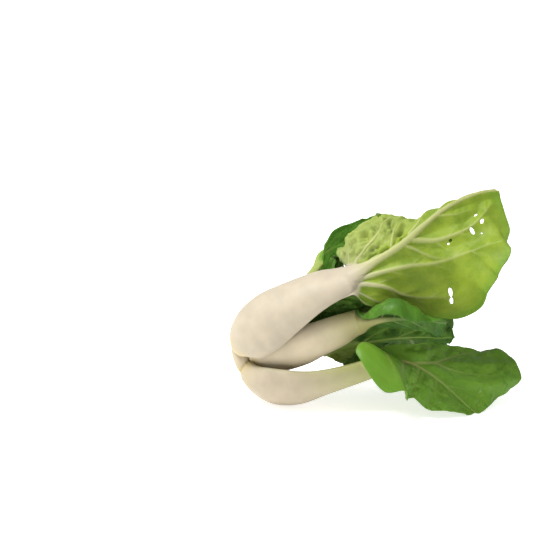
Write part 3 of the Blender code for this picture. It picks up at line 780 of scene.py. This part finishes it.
def stalk_colours(box, place, ivory, green_from, neck, pale_green):
    """Ivory with faint clouds and lengthwise fibres, stained yellow-brown at the root.  It turns to the
    neck's colour from a share of its length on, olive along its margins, and to the veins' green beyond
    the neck.  Returns the colour and the fibres."""
    along = box.number("along")
    fibres = box.noise(box.flat_place((28.0, 1.2, 1.0)), 1.0, 2.0)
    cloud = box.noise(place, 9.0, 2.0)
    shade = paint(*(round(0.95 * part) for part in ivory))
    stalk = box.mix(box.band(cloud, 0.3, 0.7), paint(*ivory), shade)
    stalk = box.mix(box.band(fibres, 0.4, 0.75, 0.0, 0.3), stalk, shade)
    root = box.band(along, 0.0, 0.16, 1.0, 0.0)
    stain = box.maths("MULTIPLY", root, box.band(cloud, 0.35, 0.6, 0.1, 0.6))
    stalk = box.mix(stain, stalk, paint(186, 166, 100))
    toward_neck = box.band(along, green_from, max(green_from + 0.3, 1.1))
    edge = box.band(box.number("edge"), 0.0, 4.0, 0.6, 0.0)
    stalk = box.mix(box.maths("MULTIPLY", edge, toward_neck), stalk, paint(150, 150, 70))
    stalk = box.mix(box.maths("MULTIPLY", toward_neck, 0.9), stalk, paint(*neck))
    return box.mix(box.band(along, 1.05, 1.6), stalk, pale_green), fibres


def grey(level):
    """A plain number in the form of a colour, so that it can be mixed as one."""
    return (level, level, level, 1.0)


def leaf_material(name, upper, upper_dark, under, under_dark, ivory, green_from, roughness, shine=0.12,
                  neck=(148, 145, 86), vein=None):
    """Green blade and ivory stalk of one living sheet, mixed by how pale the mesh says each point is.
    Greens are given light and dark for both faces.  Roughness is that of the upper face.  Shine is the
    blade's specular level, and the stalk's is three times as high, up to 0.3.  Veins are tinted with
    their own colour or else with ivory."""
    box = Paintbox(name)
    place = box.flat_place()
    face = box.number("upper")
    pale = box.number("pale")
    greens = (upper, upper_dark, under, under_dark)
    green, pale_green, net = blade_colours(box, place, face, greens, vein or ivory)
    stalk, fibres = stalk_colours(box, place, ivory, green_from, neck, pale_green)
    box.put(box.shader.inputs["Base Color"], box.mix(pale, green, stalk))
    blade_roughness = box.mix(face, grey(0.5), grey(roughness))
    box.put(box.shader.inputs["Roughness"], box.mix(pale, blade_roughness, grey(0.55)))
    specular = box.shader.inputs["Specular IOR Level"]
    specular.default_value = shine
    if shine > 0:
        box.put(specular, box.mix(pale, grey(shine), grey(min(3 * shine, 0.3))))
    box.shader.inputs["Subsurface Weight"].default_value = 0.2
    box.shader.inputs["Subsurface Radius"].default_value = (1.0, 0.9, 0.5)
    box.shader.inputs["Subsurface Scale"].default_value = 0.002
    box.bump(box.maths("SUBTRACT", box.maths("MULTIPLY", fibres, 0.1), net), 0.0003, 0.5)
    return box.material


TOP_SKIN = leaf_material("top_leaf_skin", upper=(70, 108, 26), upper_dark=(56, 92, 22),
                         under=(120, 140, 40), under_dark=(102, 125, 32), ivory=(173, 162, 142),
                         green_from=1.0, roughness=0.38, neck=(166, 168, 112))
add_leaf("top_leaf", "outer_leaf_top", OUTER_TOP, 288, 163, TOP_SKIN)

# ---------------------------------------------------------------------------------------------
# Outer leaf at the bottom: the same living sheet as the top leaf, grown from the other side of the stem.
# The head lies on its ivory stalk.  Its blade spreads over the surface with its upper face in view, and
# next to the stalk its margin is rolled over.
# ---------------------------------------------------------------------------------------------
OUTER_BOTTOM = {
    "whorl": "outer", "along": (3, 7, 16, 30, 50, 80, 92), "turn": (-52, -52, -54, -57, -60, -65, -67),
    "face": (-52, -52, -54, -57, -60, -64, -67), "out": (14, 22, 31, 35.5, 36, 36.5, 36.5),
    "half": (10.5, 14.5, 18, 19, 15, 12.5, 11.5), "neck_fold": (6, 64),
    "plus_stalk": ((16, 66), (20.5, 60), (25, 60), (24, 54), (16.5, 44), (12.5, 32), (11.5, 25)),
    "spine": ((99, 36.5, -71, -78, 36, 0), (108, 40.5, -77.5, -103, 20, 0), (116, 49.5, -81.5, -122, 10, 0),
              (123, 61, -83, -137.5, 8, 0), (129.6, 74.2, -83.4, -144, 6, 0),
              (135.8, 87.2, -83.4, -149, -6, 0)),
    "minus": ((13, -5, -10, 8.5), (26, -9, -10, 12), (41, -7, -8, 17.5), (51, -2, -10, 18), (43, 5, -13, 23),
              (9, -9, -12, 4)),
    "roll": ((12.5, 20, 5, 0), (42, -46, -100, -9)),
    "plus": ((46, -80, -58, -10), (25, -50, -20, 14), (24, -30, -18, 16), (17, -12, -13, 13),
             (9, -4, -5, 8), (5.5, 0, 0, 0)),
    "lines": (((22, -1), (34, -11), (39.5, -21.5), (51, -42)),
              ((34, -11), (45, -13.5), (55, -20), (67, -29)), ((48, 0), (56, -6), (65, -12)),
              ((1, 10), (2.4, 21), (2.5, 31), (2, 38)), ((16, 1), (13.6, 6), (10, 20), (7, 36)),
              ((-4, 8), (-5, 20), (-4, 32)), ((26, 1), (27, 10), (28, 22)), ((40, 1), (43, 8), (46, 15))),
    "holes": ((19.5, 36.5, 9, 5.5, -33),),
    "hills": 0.7, "ruffle": 0.5, "pillow": 1.8, "settled": 1.1, "crinkle": 0.9, "rib_width": 0.45,
    "seed": 23,
}
BOTTOM_SKIN = leaf_material("bottom_leaf_skin", upper=(92, 130, 38), upper_dark=(84, 124, 34),
                            under=(104, 134, 46), under_dark=(90, 120, 38), ivory=(168, 156, 134),
                            green_from=0.32, roughness=0.34, shine=0.16, neck=(138, 143, 76),
                            vein=(152, 166, 96))
add_leaf("bottom_leaf", "outer_leaf_bottom", OUTER_BOTTOM, 280, 147, BOTTOM_SKIN)

# ---------------------------------------------------------------------------------------------
# Outer leaf at the back: a leaf of the same kind, grown on the far side of the stem.  Its thin blade
# droops sideways almost to the surface and keeps the head from rolling backward.
# ---------------------------------------------------------------------------------------------
OUTER_BACK = {
    "whorl": "outer", "turn": (180, 180, 180, 180, 181, 184, 188), "out": (14, 20, 27.5, 32, 33, 33, 34),
    "spine": ((97, 39, 196, 198, 3, -.7), (101, 48, 206, 210, 5, -1.3), (102, 59, 213, 220, 6, -1.8),
              (102, 71, 218, 226, 6, -2.1), (101, 83, 221, 230, 4, -2.3), (101, 92, 222, 230, 0, -2.3)),
    "minus": ((22, 5, 5, -4), (32, 5, 10, -2), (35, 5, 15, 1), (32, 5, 15, 3), (23, 0, 10, 3), (6, 0, 0, 0)),
    "plus": ((22, 5, 5, -4), (32, 5, 10, -2), (35, 5, 15, 1), (31, 5, 15, 2), (21, 0, 10, 2), (6, 0, 0, 0)),
    "veins": (((.02, .2, 3), (.08, .36, 4), (.18, .53, 5), (.33, .7, 4), (.52, .84, 3), (.7, .94, 2)),
              ((.02, .2, 3), (.07, .34, 4), (.16, .51, 5), (.3, .68, 4), (.5, .83, 3), (.68, .93, 2))),
    "hills": 1.0, "ruffle": 1.0, "pillow": 0.9, "seed": 37,
}
BACK_SKIN = leaf_material("back_leaf_skin", upper=(66, 104, 26), upper_dark=(52, 86, 20),
                          under=(88, 116, 36), under_dark=(70, 98, 28), ivory=(186, 175, 153),
                          green_from=0.6, roughness=0.38)
add_leaf("back_leaf", "outer_leaf_back", OUTER_BACK, 270, 111, BACK_SKIN)

# ---------------------------------------------------------------------------------------------
# Middle leaves: shorter leaves of the same make, grown on the stem in a ring inside the outer ones.  The
# front one shows its pale cupped stalk and a blade whose upper margin is rolled over.  The back one
# stands out sideways behind the top leaf, and its face is duller.
# ---------------------------------------------------------------------------------------------
MIDDLE_FRONT = {
    "whorl": "middle", "turn": (3, 3, 3, 3, 2, -1, -7), "out": (10.2, 14.5, 18, 19.8, 19, 16, 13),
    "along": (13, 19.5, 29, 45, 60, 75, 88),
    "minus_stalk": ((6.5, 40), (11, 46), (16, 50), (16.5, 48), (14, 42), (12, 36), (8.5, 30)),
    "plus_stalk": ((6.5, 40), (11, 46), (13, 50), (9.5, 48), (7, 42), (7.5, 36), (8.5, 30)),
    "spine": ((98, 15.5, -10, 0, 5, 0), (108, 19.5, -13, 2, 8, 0), (118, 23, -18, 2, 8, 0),
              (127, 25, -26, -4, 6, 0), (135, 27, -35, -14, 0, 0), (142, 29, -44, -20, 0, 0)),
    "minus": ((6, 20, 10, -2), (7, 15, 10, 0), (9, 25, 15, 4), (12, 25, 10, 6), (12, 10, 10, 6),
              (6, 0, 0, 0)),
    "plus": ((15, -60, -110, -2), (29, -72, -108, -2), (36, -66, -106, -2), (25, -85, -80, -3),
             (9, -70, -50, -1), (4, -40, 0, 0)),
    "veins": (((.1, .3, 2), (.22, .5, 3), (.38, .7, 3), (.58, .87, 2)),
              ((.08, .26, 2), (.18, .4, 3), (.3, .55, 3), (.44, .7, 3), (.6, .85, 2))),
    "hills": 0.9, "ruffle": 0.9, "pillow": 0.8, "crinkle": 0.5, "rib_width": 0.6, "rib_to": 22,
    "seed": 41,
}
MIDDLE_BACK = {
    "whorl": "middle", "turn": (122, 122, 122, 124, 127, 130, 134),
    "face": (122, 122, 122, 122, 123, 126, 134),
    "along": (12, 19, 29, 42, 53, 61, 67), "out": (10.2, 14.5, 18, 21, 27, 34.5, 43),
    "half": (7, 11, 15, 15, 12.5, 11.5, 10), "neck_lean": -.3,
    "spine": ((70, 55.5, 137, 148, 0, -.8), (73.5, 66, 144, 166, 3, -1.4), (77, 77.5, 151.5, 182, 5, -2),
              (78.5, 89.5, 158, 190, 6, -2), (79, 101, 163.5, 194, 6, -2), (78.5, 111.5, 168, 196, 6, -2)),
    "minus": ((18, 5, 5, -4), (28, 5, 5, -2), (35, 5, 5, 2), (36, 5, 5, 5), (28, 5, 5, 5), (6, 0, 0, 0)),
    "plus": ((18, 10, 10, -4), (26, 15, 15, -2), (29, 20, 20, 2), (29, 20, 20, 5), (22, 10, 10, 5),
             (6, 0, 0, 0)),
    "veins": (((.06, .26, 3), (.16, .44, 4), (.32, .64, 4), (.52, .83, 3)),
              ((.06, .26, 3), (.16, .44, 4), (.32, .64, 4), (.52, .83, 3))),
    "hills": 1.8, "ruffle": 1.4, "pillow": 1.0, "crinkle": 1.2, "seed": 53,
}
MIDDLE_SKIN = leaf_material("middle_leaf_skin", upper=(70, 112, 30), upper_dark=(54, 94, 24),
                            under=(68, 104, 34), under_dark=(50, 84, 26), ivory=(190, 177, 150),
                            green_from=0.55, roughness=0.36)
add_leaf("middle_front_leaf", "middle_leaf_front", MIDDLE_FRONT, 260, 101, MIDDLE_SKIN)
# Its stalk turns olive green from a fifth of its length on: partly the green wings of the blade there,
# partly painted shade.
DULL_SKIN = leaf_material("middle_back_leaf_skin", upper=(88, 136, 48), upper_dark=(66, 110, 34),
                          under=(90, 124, 44), under_dark=(66, 100, 34), ivory=(174, 163, 138),
                          green_from=0.2, roughness=0.7, shine=0.0, neck=(128, 146, 72),
                          vein=(104, 128, 56))
add_leaf("middle_back_leaf", "middle_leaf_back", MIDDLE_BACK, 220, 81, DULL_SKIN)

# ---------------------------------------------------------------------------------------------
# Inner leaves: four small crumpled leaves packed round the heart, with thin stalks, grown folded and held
# in place by the stalks outside them.  The lowest one is painted a paler green: partly its own yellow-green,
# partly painted light that lifts the shade it lies in.
# ---------------------------------------------------------------------------------------------
SMALL_VEINS = (((-.05, .22, 2), (.12, .46, 3), (.34, .7, 3), (.58, .88, 2)),) * 2
INNER_RELIEF = {"hills": 2.6, "ruffle": 1.6, "pillow": 1.2, "crinkle": 3.0}
# Paler green than the other inner leaves: partly the leaf's own yellow-green, partly painted light that
# makes up for the shade it lies in.
PALE_PAINTED_LIT_INNER_SKIN = leaf_material("pale_painted_lit_inner_leaf_skin", upper=(128, 150, 52), upper_dark=(100, 128, 42),
                                under=(128, 150, 52), under_dark=(100, 128, 42), ivory=(168, 172, 100),
                                green_from=0.3, roughness=0.5, shine=0.08)
# The bright yellow-green neck and ivory are partly the base's own colour and partly painted light that lifts
# the shade the front inner leaf's base lies in.
INNER_SKIN = leaf_material("inner_leaf_skin", upper=(76, 114, 40), upper_dark=(46, 80, 26),
                           under=(82, 118, 42), under_dark=(52, 84, 28), ivory=(160, 172, 90),
                           green_from=0.3, roughness=0.5, shine=0.08, neck=(160, 178, 80))
INNER = (
    ("lower_inner_leaf", "inner_leaf_below", PALE_PAINTED_LIT_INNER_SKIN, {
        "whorl": "inner", "turn": (-133, -133, -133, -134, -136, -138, -141), "fold": 10,
        "path": ((62, 15, -144, -142), (78, 18, -147, -144), (95, 23, -150, -147), (112, 30, -153, -150),
                 (127, 37, -155, -152), (141, 45, -157, -154)),
        "widths": (10, 22), "curls": (20, 30, 15, 20), "seed": 61}),
    ("rear_inner_leaf", "inner_leaf_back", INNER_SKIN, {
        "whorl": "inner", "turn": (150, 150, 150, 149, 147, 146, 145), "fold": 12,
        "path": ((60, 17, 141, 142), (66.5, 21, 136, 138), (72, 26.5, 130, 134), (76.5, 32.5, 125, 130),
                 (80, 39, 121, 127), (82.5, 45, 118, 124)),
        "widths": (10, 10), "curls": (15, 20, 20, 30), "seed": 67}),
    ("upper_inner_leaf", "inner_leaf_top", INNER_SKIN, {
        "whorl": "inner", "turn": (65, 65, 65, 65, 66, 68, 70), "fold": 12,
        "path": ((60, 16, 71, 50), (72, 18, 75, 38), (85, 19.5, 80, 34), (99, 21, 86, 34),
                 (112, 23, 90, 40), (125, 25, 92, 48)),
        "widths": (15, 8), "curls": (5, -10, 5, -15), "seed": 71}),
    ("front_inner_leaf", "inner_leaf_front", INNER_SKIN, {
        "whorl": "inner", "turn": (-57, -57, -57, -58, -60, -62, -65),
        "spine": ((62, 14.5, -70, -30, 0, 0), (78, 17, -79, -14, 0, 0), (95, 20.5, -87, -14, 0, 0),
                  (111, 26, -94, -20, 0, 0), (126, 32.5, -100, -30, 0, 0), (139, 39.5, -104, -40, 0, 0)),
        "minus": ((13, 5, 5, -6), (18, 5, 5, -4), (8, 10, 10, -2), (3, 10, 10, 3), (4, 10, 10, 3),
                  (3, 0, 0, 0)),
        "plus": ((6, 5, 5, -4), (10, -10, -20, -2), (16, -10, -30, 0), (18, -10, -30, 4), (14, -10, -30, 4),
                 (4, 0, 0, 0)),
        # The pale base runs 26 mm onto the blade: partly its own colour, partly painted light over the shade
        # there.
        "pale_to": 26, "seed": 73}),
)
for piece, node, skin, leaf in INNER:
    add_leaf(piece, node, {**leaf, **INNER_RELIEF, "veins": SMALL_VEINS, "rib_width": 0.3}, 200, 71, skin)

# ---------------------------------------------------------------------------------------------
# Heart leaves: the two youngest leaves, hardly opened and yellow-green, which grow straight out of the
# middle of the stem between the inner leaves.
# ---------------------------------------------------------------------------------------------
HEART = (
    ("front_heart_leaf", "heart_leaf_front", {
        "whorl": "heart", "turn": (-10,) * 7, "fold": 0,
        "path": ((90, 2.5, -10, -10), (96, 2.7, -10, -10), (102, 2.8, -10, -10), (108, 2.9, -10, -10),
                 (113, 3, -10, -10), (118, 3.1, -10, -10)),
        "widths": (8, 8), "curls": (6, 8, 6, 8), "seed": 79}),
    ("rear_heart_leaf", "heart_leaf_back", {
        "whorl": "heart", "turn": (170,) * 7, "fold": 0,
        "path": ((92, 2.5, 170, 170), (102, 3, 170, 170), (112, 3.5, 170, 170), (121, 4, 170, 170),
                 (130, 5, 170, 170), (138, 6, 170, 170)),
        "widths": (10, 10), "curls": (6, 8, 6, 8), "seed": 83}),
)
HEART_RELIEF = {"hills": 0.3, "ruffle": 0.3, "pillow": 0.3}
HEART_SKIN = leaf_material("heart_leaf_skin", upper=(96, 122, 44), upper_dark=(80, 106, 36),
                           under=(104, 128, 50), under_dark=(88, 114, 40), ivory=(170, 170, 110),
                           green_from=0.3, roughness=0.42)
for piece, node, leaf in HEART:
    add_leaf(piece, node, {**leaf, **HEART_RELIEF, "veins": SMALL_VEINS}, 140, 41, HEART_SKIN)

# ---------------------------------------------------------------------------------------------
# Studio: a matt white floor that glows a little and an even white surround, so that shadows stay soft
# and pale, one broad lamp above left, and the camera.  None of it is part of the head.
# ---------------------------------------------------------------------------------------------
AMBIENT = 0.62                              # strength of the surround and of the floor's own glow
WHITE = (1.0, 1.0, 1.0, 1.0)
FLOOR_HALF = 40.0                           # metres, so that from above its edge is out of sight


def studio_floor():
    """One large square at level nought."""
    corners = ((-FLOOR_HALF, -FLOOR_HALF, 0), (FLOOR_HALF, -FLOOR_HALF, 0), (FLOOR_HALF, FLOOR_HALF, 0),
               (-FLOOR_HALF, FLOOR_HALF, 0))
    made = add_mesh("studio_floor", np.array(corners) / MM, np.array(((0, 1, 2, 3),)), {})
    box = Paintbox("white_floor")
    box.shader.inputs["Base Color"].default_value = (0.93, 0.93, 0.93, 1.0)
    box.shader.inputs["Emission Color"].default_value = WHITE
    box.shader.inputs["Emission Strength"].default_value = AMBIENT
    box.shader.inputs["Roughness"].default_value = 0.9
    made.data.materials.append(box.material)


def soft_lamp(name, position, target, width, power):
    """Round lamp, in metres and watts, turned to shine from its position toward the target."""
    lamp = bpy.data.lights.new(name, "AREA")
    lamp.shape = "DISK"
    lamp.size = width
    lamp.energy = power
    made = bpy.data.objects.new(name, lamp)
    bpy.context.scene.collection.objects.link(made)
    made.location = position
    direction = np.array(target) - np.array(position)
    heading = math.atan2(direction[1], direction[0])
    drop = math.atan2(math.hypot(direction[0], direction[1]), -direction[2])
    made.rotation_euler = (drop, 0.0, heading - math.pi / 2)


def surround():
    """Even white light from all round."""
    world = bpy.data.worlds.new("surround")
    world.use_nodes = True
    background = world.node_tree.nodes["Background"]
    background.inputs["Color"].default_value = WHITE
    background.inputs["Strength"].default_value = AMBIENT
    bpy.context.scene.world = world


def add_camera(position, tilt, focal_length):
    """Looks along +Y, turned up by the tilt from straight down; sizes are for a frame 36 mm wide."""
    data = bpy.data.cameras.new("camera")
    data.lens = focal_length
    data.sensor_width = 36.0
    made = bpy.data.objects.new("camera", data)
    bpy.context.scene.collection.objects.link(made)
    made.location = position
    made.rotation_euler = (math.radians(tilt), 0.0, 0.0)
    bpy.context.scene.camera = made


studio_floor()
surround()
soft_lamp("lamp_above_left", (-0.6, -0.2, 1.2), (0.0, 0.0, 0.04), 0.65, 24.0)
add_camera((-0.0648, -0.8731, 0.31175), 75.0, 84.7)
bpy.context.scene.view_settings.view_transform = "Standard"
